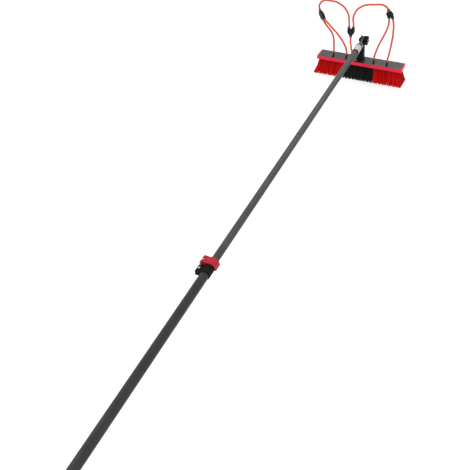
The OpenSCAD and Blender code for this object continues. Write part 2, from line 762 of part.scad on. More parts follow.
// the lever's outline across the pole: cam round the pin, then a band over the collar to the far side
module lever_outline() {
    band_from = -9;
    band_to = 148;
    difference() {
        union() {
            difference() {
                circle(r = band_out);
                circle(r = band_in);
                // everything below the band's two ends
                polygon([[0, 0], [2 * band_out * cos(band_to), 2 * band_out * sin(band_to)],
                    [-3 * band_out, 0], [-3 * band_out, -3 * band_out], [3 * band_out, -3 * band_out],
                    [2 * band_out * cos(band_from), 2 * band_out * sin(band_from)]]);
            }
            translate([-pin_x, pin_y - cam_off]) circle(r = cam_r);
            // web from the cam to the band
            polygon([[-pin_x, pin_y - cam_off + cam_r], [-pin_x + 3, pin_y - cam_off - 4],
                [band_out * cos(band_to), band_out * sin(band_to) - 3],
                [-band_in * cos(62), band_out * sin(62)]]);
            // finger lip at the free end
            rotate(band_from + 4) translate([band_out - 0.5, 0]) circle(r = 2.2, $fn = 32);
        }
        circle(r = band_in);
        translate([-pin_x, pin_y]) circle(r = pin_d / 2 + run_gap);
    }
}

module clamp_lever() {
    color("crimson") on_pole() difference() {
        translate([0, 0, lever_start]) linear_extrude(lever_w) lever_outline();
        translate([-pin_x, pin_y, lever_mid - slot_w / 2]) cylinder(h = slot_w, r = cam_r + 0.8);
        translate([-pin_x - 20, pin_y - 20, lever_mid - slot_w / 2]) cube([20, 40, slot_w]);
    }
}

// ---------- water fittings ----------

// Y fitting: centre, then its lean about X, turn about Y, and spin about its own axis
y_places = [
    [[-51, -36, 138], -20, -8, 0],
    [[-200, -20, 192], -5, 155, 40],
    [[110, -20, 240], -20, 163, 25]
];

module y_frame(k) on_head() translate(y_places[k][0]) rotate([y_places[k][1], y_places[k][2], 0])
    rotate([0, 0, y_places[k][3]]) children();

module y_body() {
    fork_z = -y_half / 3;
    reach = sqrt(pow(outlet_gap / 2, 2) + pow(y_half * 2 / 3, 2));
    lean = atan2(outlet_gap / 2, y_half * 2 / 3);
    half_t = port_r * 0.8;
    difference() {
        union() {
            translate([0, 0, -y_half]) cylinder(h = y_half, r = port_r - 0.5);
            for (side = [-1, 1]) translate([side * outlet_gap / 2, 0, 0]) cylinder(h = y_half, r = port_r);
            rotate([90, 0, 0]) translate([0, 0, -half_t]) linear_extrude(2 * half_t) {
                polygon([[0.5 - port_r, -y_half * 0.8], [port_r - 0.5, -y_half * 0.8],
                    [outlet_gap / 2 + port_r - 0.5, 0], [outlet_gap / 2, y_half * 0.75],
                    [-outlet_gap / 2, y_half * 0.75], [0.5 - outlet_gap / 2 - port_r, 0]]);
            }
        }
        translate([0, 0, -y_half - 1]) cylinder(h = y_half + 2 + fork_z, r = water_r);
        for (side = [-1, 1]) {
            translate([side * outlet_gap / 2, 0, y_half / 3 - 1]) cylinder(h = y_half, r = water_r);
            translate([0, 0, fork_z]) rotate([0, side * lean, 0]) cylinder(h = reach, r = water_r);
        }
    }
}

module centre_y() color([0.11, 0.12, 0.15]) y_frame(0) y_body();
module left_y() color([0.11, 0.12, 0.15]) y_frame(1) y_body();
module right_y() color([0.11, 0.12, 0.15]) y_frame(2) y_body();

module at_y_ports() {
    for (k = [0:2]) y_frame(k) {
        translate([0, 0, -y_half]) rotate([180, 0, 0]) children();
        for (side = [-1, 1]) translate([side * outlet_gap / 2, 0, y_half]) children();
    }
}

// pale ring under each release collar
module y_rings() {
    color("gainsboro") at_y_ports() difference() {
        cylinder(h = ring_t - seat_gap, r = port_r - 0.3);
        translate([0, 0, -1]) cylinder(h = ring_t + 2, r = hose_bore_r);
    }
}

module y_collars() color("dimgray") at_y_ports() translate([0, 0, ring_t]) release_collar();

// the hose is pushed over a barb, so the jet is no wider than the hose
module jet(k) {
    color([0.08, 0.09, 0.1]) on_head() translate([jet_x(k), jet_y, 0]) difference() {
        union() {
            cylinder(h = jet_h, r = hose_d / 2 - 0.6);
            cylinder(h = 4, r = hose_d / 2 + 1, $fn = 6);
            translate([0, 0, jet_h - 4]) cylinder(h = 2, r = hose_d / 2);
            translate([0, 0, -jet_shank_len]) cylinder(h = jet_shank_len + 1, r = jet_shank_d / 2);
        }
        translate([0, 0, -jet_shank_len - 1]) cylinder(h = jet_shank_len + jet_h + 2, r = jet_shank_d / 3);
    }
}

module spray_tips() {
    color("gold") on_head() for (k = [0:3]) translate([jet_x(k), jet_y, -stock_h + slab_t + 0.3])
        difference() {
            cylinder(h = stock_h - slab_t - jet_shank_len - 0.3 - seat_gap, r = spray_r);
            translate([0, 0, -1]) cylinder(h = stock_h, r = 0.6);
        }
}

// ---------- hoses ----------

// directions of a Y fitting: towards its outlets, and from one outlet to the other
function y_axis(k) = let (lean = y_places[k][1], turn = y_places[k][2])
    [cos(lean) * sin(turn), -sin(lean), cos(lean) * cos(turn)];
function y_side(k) = let (lean = y_places[k][1], turn = y_places[k][2], spin = y_places[k][3])
    cos(spin) * [cos(turn), 0, -sin(turn)]
    + sin(spin) * [sin(turn) * sin(lean), cos(lean), cos(turn) * sin(lean)];
// a point on the axis of its port, so far out of the face; side 0 is the stem
function y_port(k, side, out) = side == 0
    ? y_places[k][0] - (y_half + out) * y_axis(k)
    : y_places[k][0] + (y_half + out) * y_axis(k) + side * outlet_gap / 2 * y_side(k);
function jet_port(k, out) = [jet_x(k), jet_y, jet_h + out];
// the same for the elbow's nozzle
function elbow_port(out) = let (
    reach = nozzle_len + out,
    s = elbow_start + elbow_dir[2] * reach,
    side = elbow_dir[0] * reach - knuckle_x,
    drop = axis_drop - side * sin(elbow_roll))
    [side * cos(elbow_roll), drop * sin(pole_slope) - s * cos(pole_slope),
        hinge_h - drop * cos(pole_slope) - s * sin(pole_slope)];

straight = 6;
feed_route = concat([elbow_port(seat_gap), elbow_port(12)],
    [[-18, -105, 60], [-24, -88, 64], [-31, -74, 73], [-38, -62, 84], [-44, -53, 96]],
    [y_port(0, 0, 12), y_port(0, 0, seat_gap)]);
loop_left_route = concat([y_port(0, -1, seat_gap), y_port(0, -1, 14)],
    [[-70, -17, 182], [-72, -18, 199], [-78, -19, 216], [-89, -16, 229], [-101, -16, 241],
        [-117, -15, 249], [-133, -16, 256], [-151, -18, 259], [-168, -23, 261],
        [-186, -26, 261], [-203, -25, 251], [-212, -24, 234]],
    [y_port(1, 0, 7), y_port(1, 0, seat_gap)]);
loop_right_route = concat([y_port(0, 1, seat_gap), y_port(0, 1, 14)],
    [[-51, -17, 185], [-51, -17, 203], [-46, -16, 220], [-38, -16, 236], [-25, -15, 248],
        [-10, -15, 258], [7, -18, 265], [25, -19, 269], [41, -28, 274], [55, -38, 280],
        [74, -40, 283], [91, -36, 277]],
    [y_port(2, 0, 7), y_port(2, 0, seat_gap)]);
drop_a_route = concat([y_port(1, 1, seat_gap), y_port(1, 1, straight)],
    [[-186, -10, 153], [-175, -11, 140], [-162, -12, 128], [-150, -14, 116],
        [-140, -16, 102], [-134, -18, 85], [-131, -20, 69], [-129, -20, 51]],
    [jet_port(0, 14), jet_port(0, seat_gap)]);
drop_b_route = concat([y_port(1, -1, seat_gap), y_port(1, -1, straight)],
    [[-167, -22, 158], [-152, -23, 145], [-137, -21, 131], [-122, -20, 117],
        [-108, -20, 102], [-94, -20, 87], [-82, -20, 70], [-72, -20, 53]],
    [jet_port(1, 13), jet_port(1, seat_gap)]);
drop_c_route = concat([y_port(2, 1, seat_gap), y_port(2, 1, straight)],
    [[109, -6, 195], [107, -8, 174], [102, -10, 154], [95, -14, 134], [88, -16, 115],
        [81, -19, 95], [75, -20, 75], [70, -20, 55]],
    [jet_port(2, 14), jet_port(2, seat_gap)]);
drop_d_route = concat([y_port(2, -1, seat_gap), y_port(2, -1, straight)],
    [[131, -14, 199], [135, -16, 178], [136, -17, 158], [137, -18, 137], [136, -20, 116],
        [135, -20, 96], [133, -20, 75], [131, -20, 54]],
    [jet_port(3, 14), jet_port(3, seat_gap)]);

function unit(v) = v / norm(v);
function ring_normal(path, i) = unit(path[min(i + 1, len(path) - 1)] - path[max(i - 1, 0)]);

// round tube along the points of a route; side is a direction that the route never follows
module hose(path, side) {
    n = 8;
    last = len(path) - 1;
    points = [for (i = [0:last])
        let (t = ring_normal(path, i), u = unit(cross(side, t)), v = cross(t, u))
        for (k = [0:n - 1]) path[i] + hose_d / 2 * (cos(k * 360 / n) * u + sin(k * 360 / n) * v)];
    faces = concat(
        [for (k = [1:n - 2]) [0, k, k + 1]],
        [for (k = [1:n - 2]) [last * n, last * n + k + 1, last * n + k]],
        [for (i = [0:last - 1], k = [0:n - 1],
            f = [[i * n + k, (i + 1) * n + k, (i + 1) * n + (k + 1) % n],
                [i * n + k, (i + 1) * n + (k + 1) % n, i * n + (k + 1) % n]]) f]);
    color([0.88, 0.33, 0.27]) on_head() polyhedron(points = points, faces = faces, convexity = 6);
}

across = [0, 1, 0];
module feed_hose() hose(feed_route, [1, 0.3, 0]);
module loop_left() hose(loop_left_route, across);
module loop_right() hose(loop_right_route, across);
module drop_a() hose(drop_a_route, across);
module drop_b() hose(drop_b_route, across);
module drop_c() hose(drop_c_route, across);
module drop_d() hose(drop_d_route, across);

lower_tube();
foot_cap();
foot_seal();
inlet_nipple();
inlet_washer();
clamp_body();
guide_bush();
tube_seal();
tension_bolt();
tension_nut();
barrel_pin();
fixing_screw();
fixing_nut();
clamp_lever();
upper_tube();
guide_plug();
piston_rings();
end_sleeve();
end_ring();
hinge_neck();
neck_pin();
neck_seal();
outlet_elbow();
elbow_collar();
socket();
socket_screws();
hinge_bolt();
friction_washers();
thrust_washer();
star_knob();
knob_insert();
stock_body();
top_plate();
bristles_left();
bristles_centre();
bristles_right();
jet(0);  // jet_a
jet(1);  // jet_b
jet(2);  // jet_c
jet(3);  // jet_d
spray_tips();
centre_y();
left_y();
right_y();
y_collars();
y_rings();
feed_hose();
loop_left();
loop_right();
drop_a();
drop_b();
drop_c();
drop_d();
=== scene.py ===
"""Looks of the water-fed window cleaning pole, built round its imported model. Metres, row frame."""

import json

import bpy
import numpy as np
from mathutils import Euler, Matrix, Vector


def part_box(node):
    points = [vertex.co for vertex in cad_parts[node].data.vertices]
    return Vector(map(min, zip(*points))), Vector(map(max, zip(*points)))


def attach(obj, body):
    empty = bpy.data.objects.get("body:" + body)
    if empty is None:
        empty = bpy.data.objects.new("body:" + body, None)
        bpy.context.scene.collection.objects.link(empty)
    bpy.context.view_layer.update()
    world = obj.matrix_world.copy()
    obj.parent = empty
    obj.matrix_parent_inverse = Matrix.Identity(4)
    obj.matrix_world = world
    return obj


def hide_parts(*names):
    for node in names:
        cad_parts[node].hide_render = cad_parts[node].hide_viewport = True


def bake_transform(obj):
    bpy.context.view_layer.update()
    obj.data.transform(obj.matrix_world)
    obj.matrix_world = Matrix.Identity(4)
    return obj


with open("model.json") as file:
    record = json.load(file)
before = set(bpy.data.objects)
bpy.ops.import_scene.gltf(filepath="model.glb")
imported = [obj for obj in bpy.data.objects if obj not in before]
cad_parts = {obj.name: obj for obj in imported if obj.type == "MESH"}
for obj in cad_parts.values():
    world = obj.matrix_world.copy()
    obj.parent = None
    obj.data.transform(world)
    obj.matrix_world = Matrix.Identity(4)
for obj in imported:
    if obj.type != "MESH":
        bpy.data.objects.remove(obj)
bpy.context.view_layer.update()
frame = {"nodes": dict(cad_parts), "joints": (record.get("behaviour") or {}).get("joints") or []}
scene = bpy.context.scene

# ---- Camera -------------------------------------------------------------------------------------
# It stands about three metres in front of the brush and a metre and a half up, with a slightly
# long lens, as fitted to the outlines of the pole and the brush.
stock_low, stock_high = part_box("stock_body")
plate_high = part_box("top_plate")[1]
head_origin = Vector(
    ((stock_low.x + stock_high.x) / 2, (stock_low.y + stock_high.y) / 2, plate_high.z)
)
camera_from_head = Vector((0.7196, -3.0435, 1.3956))
camera_turn_degrees = (51.5326, 0.2980, 24.0085)
camera_lens = 53.617
camera_near = 0.05
camera_far = 60.0

camera_data = bpy.data.cameras.new("camera")
camera_data.lens = camera_lens
camera_data.clip_start = camera_near
camera_data.clip_end = camera_far
camera = bpy.data.objects.new("camera", camera_data)
scene.collection.objects.link(camera)
camera.location = head_origin + camera_from_head
camera.rotation_euler = Euler(np.radians(camera_turn_degrees))
scene.camera = camera

# ---- Hoses --------------------------------------------------------------------------------------
# Seven lengths of 9 mm polyurethane hose, cut square and pushed into the fittings: one feed from
# the pole, two loops from the centre fitting to the outer ones, and a drop to each of the jets.
# Points are in metres from the middle of the top plate's upper face.
hose_width = 0.009
hose_step = 0.002
hose_sides = 28


class Socket:
    """One value in a finish. Arithmetic on it adds the matching Math node."""

    def __init__(self, finish, link):
        self.finish = finish
        self.link = link

    def math(self, operation, first, second=0.0):
        return self.finish.add(
            "ShaderNodeMath", {"operation": operation}, {0: first, 1: second}
        )

    def __add__(self, other):
        return self.math("ADD", self, other)

    def __radd__(self, other):
        return self.math("ADD", other, self)

    def __mul__(self, other):
        return self.math("MULTIPLY", self, other)

    def __rmul__(self, other):
        return self.math("MULTIPLY", other, self)

    def __truediv__(self, other):
        return self.math("DIVIDE", self, other)

    def __rtruediv__(self, other):
        return self.math("DIVIDE", other, self)


class Finish:
    """A material and its nodes, ending in one Principled surface."""

    def __init__(self, name, owner=None):
        self.material = owner or bpy.data.materials.new(name)
        self.material.use_nodes = True
        self.tree = self.material.node_tree
        self.tree.nodes.clear()

    def add(self, kind, settings=None, sockets=None, output=0):
        """Adds a node: its settings first, then the values or links of its sockets."""
        node = self.tree.nodes.new(kind)
        for name, value in (settings or {}).items():
            setattr(node, name, value)
        for name, value in (sockets or {}).items():
            if isinstance(value, Socket):
                self.tree.links.new(value.link, node.inputs[name])
            else:
                node.inputs[name].default_value = value
        return Socket(self, node.outputs[output]) if node.outputs else None

    def place(self):
        return self.add("ShaderNodeTexCoord", output="Object")

    def noise(self, where, scale, detail=3.0, rough=0.55):
        sockets = {"Vector": where, "Scale": scale, "Detail": detail, "Roughness": rough}
        return self.add("ShaderNodeTexNoise", {}, sockets)

    def mix(self, share, first, second):
        """Colour first where share is 0 and second where it is 1."""
        return self.add(
            "ShaderNodeMix",
            {"data_type": "RGBA"},
            {
                0: share,
                6: first if isinstance(first, Socket) else (*first, 1),
                7: second if isinstance(second, Socket) else (*second, 1),
            },
            output=2,
        )

    def ramp(self, value, low, high, to_low=0.0, to_high=1.0):
        """Value stretched from low..high to to_low..to_high, and held there outside."""
        sockets = {0: value, 1: low, 2: high, 3: to_low, 4: to_high}
        return self.add("ShaderNodeMapRange", {"clamp": True}, sockets)

    def bump(self, height, depth):
        """Surface normal of a relief whose height of 1 stands for depth metres."""
        sockets = {"Height": height, "Distance": depth, "Strength": 1.0}
        return self.add("ShaderNodeBump", {}, sockets)

    def surface(self, **sockets):
        """Ends the finish in a Principled surface; spaces in names are written as underscores."""
        named = {name.replace("_", " "): value for name, value in sockets.items()}
        for name in ("Base Color", "Sheen Tint"):
            if name in named and not isinstance(named[name], Socket):
                named[name] = (*named[name], 1)
        shader = self.add("ShaderNodeBsdfPrincipled", {}, named)
        self.add("ShaderNodeOutputMaterial", {}, {"Surface": shader})
        return self.material


def smooth_line(points, step, fine_steps=24):
    """Curve through the points, evenly stepped.

    Between two points it is the cubic that leaves each along half the difference of that point's
    neighbours, which is the Catmull-Rom formula; the ends repeat their own difference.
    """
    p = np.asarray(points, float)
    before = np.vstack([2 * p[0] - p[1], p[:-1]])
    after = np.vstack([p[1:], 2 * p[-1] - p[-2]])
    slope = (after - before) / 2
    t = np.linspace(0, 1, fine_steps, endpoint=False)[None, :, None]
    a, b, ma, mb = p[:-1, None], p[1:, None], slope[:-1, None], slope[1:, None]
    fine = (
        (2 * t**3 - 3 * t**2 + 1) * a
        + (t**3 - 2 * t**2 + t) * ma
        + (3 * t**2 - 2 * t**3) * b
        + (t**3 - t**2) * mb
    )
    fine = np.vstack([fine.reshape(-1, 3), p[-1:]])
    run = np.r_[0, np.cumsum(np.linalg.norm(np.diff(fine, axis=0), axis=1))]
    count = max(2, int(round(run[-1] / step)) + 1)
    even = np.linspace(0, run[-1], count)
    return np.stack([np.interp(even, run, fine[:, k]) for k in range(3)], axis=1)


def grid_faces(rows, columns):
    """Quads between neighbouring rows of a grid whose columns close on themselves."""
    row, column = np.meshgrid(np.arange(rows - 1), np.arange(columns), indexing="ij")
    near = row * columns + column
    side = row * columns + (column + 1) % columns
    return np.stack([near, side, side + columns, near + columns], axis=-1).reshape(-1, 4)


def new_piece(name, points, faces, smooth=True):
    """Object at the origin from an array of points and a list of faces."""
    mesh = bpy.data.meshes.new(name)
    mesh.from_pydata(np.asarray(points).tolist(), [], [list(map(int, f)) for f in faces])
    mesh.update()
    mesh.polygons.foreach_set("use_smooth", np.full(len(mesh.polygons), smooth))
    piece = bpy.data.objects.new(name, mesh)
    scene.collection.objects.link(piece)
    return piece


def line_frame(line, side):
    """Two directions at each point, square to the line and to each other.

    The first is the side direction crossed with the line's own, brought to unit length; the second
    is the line's direction crossed with the first.
    """
    along = np.gradient(line, axis=0)
    along /= np.linalg.norm(along, axis=1, keepdims=True)
    first = np.cross(np.broadcast_to(side, along.shape), along)
    first /= np.linalg.norm(first, axis=1, keepdims=True)
    return first, np.cross(along, first)


def hose_finish():
    """Orange-red hose: slightly cloudy, finely speckled, with a soft sheen at its edges."""
    finish = Finish("hose")
    where = finish.place()
    cloud = finish.noise(where, scale=55.0)
    speck = finish.noise(where, scale=900.0, detail=2.0)
    shade = finish.mix(
        finish.ramp(cloud, 0.35, 0.65), (0.70, 0.078, 0.042), (0.82, 0.105, 0.054)
    )
    return finish.surface(
        Base_Color=shade,
        Roughness=finish.ramp(speck, 0.3, 0.7, 0.3, 0.42),
        Normal=finish.bump(speck, depth=0.00003),
        Specular_IOR_Level=0.3,
        Subsurface_Weight=0.2,
        Subsurface_Radius=(0.004, 0.001, 0.0006),
        Subsurface_Scale=1.0,
        Sheen_Weight=0.35,
        Sheen_Roughness=0.35,
        Sheen_Tint=(1.0, 0.55, 0.35),
        Coat_Weight=0.2,
        Coat_Roughness=0.25,
    )


side_of_feed = np.array([1.0, 0.3, 0.0])
side_of_others = np.array([0.0, 1.0, 0.0])
hose_routes = {
    "feed_hose": [
        (-0.0122, -0.1351, 0.0629), (-0.0139, -0.1236, 0.0606), (-0.0180, -0.1050, 0.0600),
        (-0.0240, -0.0880, 0.0640), (-0.0310, -0.0740, 0.0730), (-0.0380, -0.0620, 0.0840),
        (-0.0440, -0.0530, 0.0960), (-0.0469, -0.0466, 0.1092), (-0.0485, -0.0425, 0.1202),
    ],
    "loop_left": [
        (-0.0634, -0.0295, 0.1544), (-0.0652, -0.0247, 0.1673), (-0.0700, -0.0170, 0.1820),
        (-0.0720, -0.0180, 0.1990), (-0.0780, -0.0190, 0.2160), (-0.0890, -0.0160, 0.2290),
        (-0.1010, -0.0160, 0.2410), (-0.1170, -0.0150, 0.2490), (-0.1330, -0.0160, 0.2560),
        (-0.1510, -0.0180, 0.2590), (-0.1680, -0.0230, 0.2610), (-0.1860, -0.0260, 0.2610),
        (-0.2030, -0.0250, 0.2510), (-0.2120, -0.0240, 0.2340), (-0.2109, -0.0223, 0.2155),
        (-0.2080, -0.0217, 0.2092),
    ],
    "loop_right": [
        (-0.0436, -0.0295, 0.1572), (-0.0454, -0.0247, 0.1701), (-0.0510, -0.0170, 0.1850),
        (-0.0510, -0.0170, 0.2030), (-0.0460, -0.0160, 0.2200), (-0.0380, -0.0160, 0.2360),
        (-0.0250, -0.0150, 0.2480), (-0.0100, -0.0150, 0.2580), (0.0070, -0.0180, 0.2650),
        (0.0250, -0.0190, 0.2690), (0.0410, -0.0280, 0.2740), (0.0550, -0.0380, 0.2800),
        (0.0740, -0.0400, 0.2830), (0.0910, -0.0360, 0.2770), (0.1029, -0.0289, 0.2634),
        (0.1048, -0.0265, 0.2572),
    ],
    "drop_a": [
        (-0.1991, -0.0119, 0.1720), (-0.1967, -0.0114, 0.1667), (-0.1860, -0.0100, 0.1530),
        (-0.1750, -0.0110, 0.1400), (-0.1620, -0.0120, 0.1280), (-0.1500, -0.0140, 0.1160),
        (-0.1400, -0.0160, 0.1020), (-0.1340, -0.0180, 0.0850), (-0.1310, -0.0200, 0.0690),
        (-0.1290, -0.0200, 0.0510), (-0.1279, -0.0200, 0.0340), (-0.1279, -0.0200, 0.0201),
    ],
    "drop_b": [
        (-0.1848, -0.0247, 0.1775), (-0.1823, -0.0242, 0.1722), (-0.1670, -0.0220, 0.1580),
        (-0.1520, -0.0230, 0.1450), (-0.1370, -0.0210, 0.1310), (-0.1220, -0.0200, 0.1170),
        (-0.1080, -0.0200, 0.1020), (-0.0940, -0.0200, 0.0870), (-0.0820, -0.0200, 0.0700),
        (-0.0720, -0.0200, 0.0530), (-0.0659, -0.0200, 0.0330), (-0.0659, -0.0200, 0.0201),
    ],
    "drop_c": [
        (0.1062, -0.0095, 0.2216), (0.1078, -0.0075, 0.2163), (0.1090, -0.0060, 0.1950),
        (0.1070, -0.0080, 0.1740), (0.1020, -0.0100, 0.1540), (0.0950, -0.0140, 0.1340),
        (0.0880, -0.0160, 0.1150), (0.0810, -0.0190, 0.0950), (0.0750, -0.0200, 0.0750),
        (0.0700, -0.0200, 0.0550), (0.0659, -0.0200, 0.0340), (0.0659, -0.0200, 0.0201),
    ],
    "drop_d": [
        (0.1243, -0.0174, 0.2241), (0.1260, -0.0154, 0.2188), (0.1310, -0.0140, 0.1990),
        (0.1350, -0.0160, 0.1780), (0.1360, -0.0170, 0.1580), (0.1370, -0.0180, 0.1370),
        (0.1360, -0.0200, 0.1160), (0.1350, -0.0200, 0.0960), (0.1330, -0.0200, 0.0750),
        (0.1310, -0.0200, 0.0540), (0.1279, -0.0200, 0.0340), (0.1279, -0.0200, 0.0201),
    ],
}
hose_material = hose_finish()
turn = np.linspace(0, 2 * np.pi, hose_sides, endpoint=False)

for hose_name, route in hose_routes.items():
    # A circle of the hose's radius carried along the smooth line, closed by a fan at each end.
    line = smooth_line(np.array(route) + np.array(head_origin), hose_step)
    side = side_of_feed if hose_name == "feed_hose" else side_of_others
    first, second = line_frame(line, side)
    rings = (
        line[:, None]
        + hose_width / 2 * np.cos(turn)[None, :, None] * first[:, None]
        + hose_width / 2 * np.sin(turn)[None, :, None] * second[:, None]
    )
    points = np.vstack([rings.reshape(-1, 3), line[:1], line[-1:]])
    last = (len(line) - 1) * hose_sides
    tube = grid_faces(len(line), hose_sides).tolist()
    caps = [[(k + 1) % hose_sides, k, len(points) - 2] for k in range(hose_sides)]
    caps += [[last + k, last + (k + 1) % hose_sides, len(points) - 1] for k in range(hose_sides)]
    hose = new_piece("hose_" + hose_name, points, tube + caps)
    hose.data.materials.append(hose_material)
    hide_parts(hose_name)
    if hose_name == "feed_hose":
        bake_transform(hose)
    else:
        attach(hose, "head")

# ---- Floor and light ----------------------------------------------------------------------------
# A plain white floor without edges, one large soft lamp over the camera's left shoulder, two
# weaker ones to the right and behind, and an even white surround.
floor_size = 30.0
floor_grey = 0.8
floor_glow_level = 0.42
surround_light = 0.62


def white_to_the_eye(finish):
    """1 on rays from the camera, a mirror or glass, and 0 on the rays that light the object."""
    path = finish.add("ShaderNodeLightPath").link.node
    seen = Socket(finish, path.outputs["Is Camera Ray"])
    mirrored = Socket(finish, path.outputs["Is Glossy Ray"])
    through = Socket(finish, path.outputs["Is Transmission Ray"])
    return seen.math("MAXIMUM", seen.math("MAXIMUM", seen, mirrored), through)


floor_finish = Finish("floor")
floor_diffuse = floor_finish.add("ShaderNodeBsdfDiffuse", {}, {"Color": (*(floor_grey,) * 3, 1)})
floor_glow = floor_finish.add(
    "ShaderNodeEmission", {}, {"Strength": white_to_the_eye(floor_finish) * floor_glow_level}
)
floor_sum = floor_finish.add("ShaderNodeAddShader", {}, {0: floor_diffuse, 1: floor_glow})
floor_finish.add("ShaderNodeOutputMaterial", {}, {"Surface": floor_sum})
half_floor = floor_size / 2
floor_corners = [
    (-half_floor, -half_floor, 0),
    (half_floor, -half_floor, 0),
    (half_floor, half_floor, 0),
    (-half_floor, half_floor, 0),
]
floor = new_piece("floor", floor_corners, [(0, 1, 2, 3)], smooth=False)
floor.data.materials.append(floor_finish.material)


def soft_lamp(name, place, aim, size, power):
    """Square area lamp at a place, turned to a point."""
    data = bpy.data.lights.new(name, "AREA")
    data.size = size
    data.energy = power
    lamp = bpy.data.objects.new(name, data)
    scene.collection.objects.link(lamp)
    lamp.location = place
    lamp.rotation_euler = (Vector(aim) - Vector(place)).to_track_quat("-Z", "Y").to_euler()


lit_from_head = Vector((0, -0.8, 0))
lit_middle = head_origin + lit_from_head
lamps = {
    "lamp_key": {"from_middle": (-1.6, -1.4, 2.8), "size": 2.4, "power": 62},
    "lamp_fill": {"from_middle": (2.6, -0.6, 1.8), "size": 2.0, "power": 22},
    "lamp_back": {"from_middle": (0.4, 2.6, 2.2), "size": 2.0, "power": 26},
}
for lamp_name, lamp in lamps.items():
    lamp_place = lit_middle + Vector(lamp["from_middle"])
    soft_lamp(lamp_name, lamp_place, lit_middle, lamp["size"], lamp["power"])

scene.world = bpy.data.worlds.new("surround")
surround = Finish("surround", scene.world)
backdrop = white_to_the_eye(surround) * (1 - surround_light) + surround_light
sky = surround.add("ShaderNodeBackground", {}, {"Strength": backdrop})
surround.add("ShaderNodeOutputWorld", {}, {"Surface": sky})
scene.view_settings.view_transform = "Standard"

# ---- Pole tubes ---------------------------------------------------------------------------------
# Composite tube rolled from resin-soaked cloth under a spiral of shrink tape, then rubbed smooth:
# the tape leaves faint slanting bands, and the cloth fine threads along the tube.
slide_axis = next(j["axis"] for j in frame["joints"] if j["name"] == "pole_slide")
hinge = Vector(next(j["pos_m"] for j in frame["joints"] if j["name"] == "head_tilt"))
pole_below_hinge = 0.004
pole_middle = hinge - Vector((0, 0, pole_below_hinge))
pole_turn = (np.pi / 2 + float(np.arcsin(slide_axis[2])), 0.0, 0.0)
tape_seam_share = 0.18
threads_round = 60.0
threads_along = 9.0


def dress(material, *names):
    """Gives CAD nodes a finish in place of their plain one."""
    for name in names:
        slots = frame["nodes"][name].data.materials
        slots.clear()
        slots.append(material)


def along_pole(finish):
    """Place measured from the pole's middle line: Z down the pole, Y up across it, X right."""
    sockets = {"Vector": finish.place(), "Location": pole_middle, "Rotation": pole_turn}
    return finish.add("ShaderNodeMapping", {"vector_type": "TEXTURE"}, sockets)


def tube_finish(name, dark, light, tape_width, roughness):
    """Rolled composite: slanting tape bands, threads along the tube and slight clouds."""
    finish = Finish(name)
    where = along_pole(finish)
    parts = finish.add("ShaderNodeSeparateXYZ", {}, {"Vector": where}).link.node
    x, y, z = (Socket(finish, parts.outputs[k]) for k in range(3))
    round_turn = y.math("ARCTAN2", y, x) / (2 * np.pi)
    wound = z / tape_width + round_turn
    band = wound.math("FRACT", wound)
    seam = finish.ramp(band, 0.0, 0.12, 1.0, 0.0)
    stretched = finish.add(
        "ShaderNodeCombineXYZ",
        {},
        {"X": round_turn * threads_round, "Y": z * threads_along, "Z": 0.0},
    )
    thread = finish.noise(stretched, scale=6.0, detail=4.0)
    cloud = finish.noise(where, scale=14.0)
    tone = finish.ramp(thread, 0.3, 0.7, 0.0, 0.6) + finish.ramp(cloud, 0.35, 0.65, 0.0, 0.3)
    return finish.surface(
        Base_Color=finish.mix(tone + seam * tape_seam_share, dark, light),
        Roughness=finish.ramp(thread, 0.3, 0.7, roughness, roughness + 0.14),
        Normal=finish.bump(thread * 0.5 + band * 0.5, depth=0.00008),
        Specular_IOR_Level=0.3,
        Coat_Weight=0.08,
        Coat_Roughness=0.3,
    )


upper_tape_width = 0.019
lower_tape_width = 0.023
grey_tube = tube_finish(
    "tube_grey", (0.018, 0.018, 0.019), (0.082, 0.082, 0.083), upper_tape_width, 0.38
)
dark_tube = tube_finish(
    "tube_dark", (0.006, 0.006, 0.008), (0.034, 0.034, 0.039), lower_tape_width, 0.42
)
dress(grey_tube, "upper_tube")
dress(dark_tube, "lower_tube")

# ---- Foot and inlet -----------------------------------------------------------------------------
# A moulded cap closes the lower tube's end, sealed by a ring. A turned brass nipple, screwed into
# it on a washer, takes the supply hose.


def moulded_finish(name, shade, roughness, grain=0.00004, coat=0.0, mottle=0.12, shine=0.25):
    """Moulded plastic: even colour with slight clouds, and a fine grain in its gloss and relief."""
    finish = Finish(name)
    where = finish.place()
    cloud = finish.noise(where, scale=38.0, detail=2.0)
    speck = finish.noise(where, scale=1400.0, detail=2.0)
    low = tuple(c * (1 - mottle) for c in shade)
    high = tuple(min(1.0, c * (1 + mottle)) for c in shade)
    return finish.surface(
        Base_Color=finish.mix(finish.ramp(cloud, 0.35, 0.65), low, high),
        Roughness=finish.ramp(speck, 0.3, 0.7, roughness - 0.05, roughness + 0.07),
        Normal=finish.bump(speck, depth=grain),
        Specular_IOR_Level=shine,
        Coat_Weight=coat,
        Coat_Roughness=0.15,
    )


def metal_finish(name, shade, roughness):
    """Bright metal: a fine grain from the tool and a slightly uneven polish."""
    finish = Finish(name)
    where = finish.place()
    tooling = finish.noise(where, scale=2600.0, detail=1.0)
    cloud = finish.noise(where, scale=120.0)
    low = tuple(c * 0.82 for c in shade)
    return finish.surface(
        Base_Color=finish.mix(finish.ramp(cloud, 0.3, 0.7), low, shade),
        Metallic=1.0,
        Roughness=finish.ramp(tooling, 0.3, 0.7, roughness - 0.06, roughness + 0.08),
        Normal=finish.bump(tooling, depth=0.00001),
    )


black_moulding = moulded_finish("black_moulding", (0.0042, 0.0044, 0.0046), 0.52, shine=0.1)
seal_black = moulded_finish("seal_black", (0.02, 0.02, 0.02), 0.6)
brass = metal_finish("brass", (0.80, 0.58, 0.28), 0.25)
dress(black_moulding, "foot_cap")
dress(seal_black, "foot_seal", "inlet_washer")
dress(brass, "inlet_nipple")

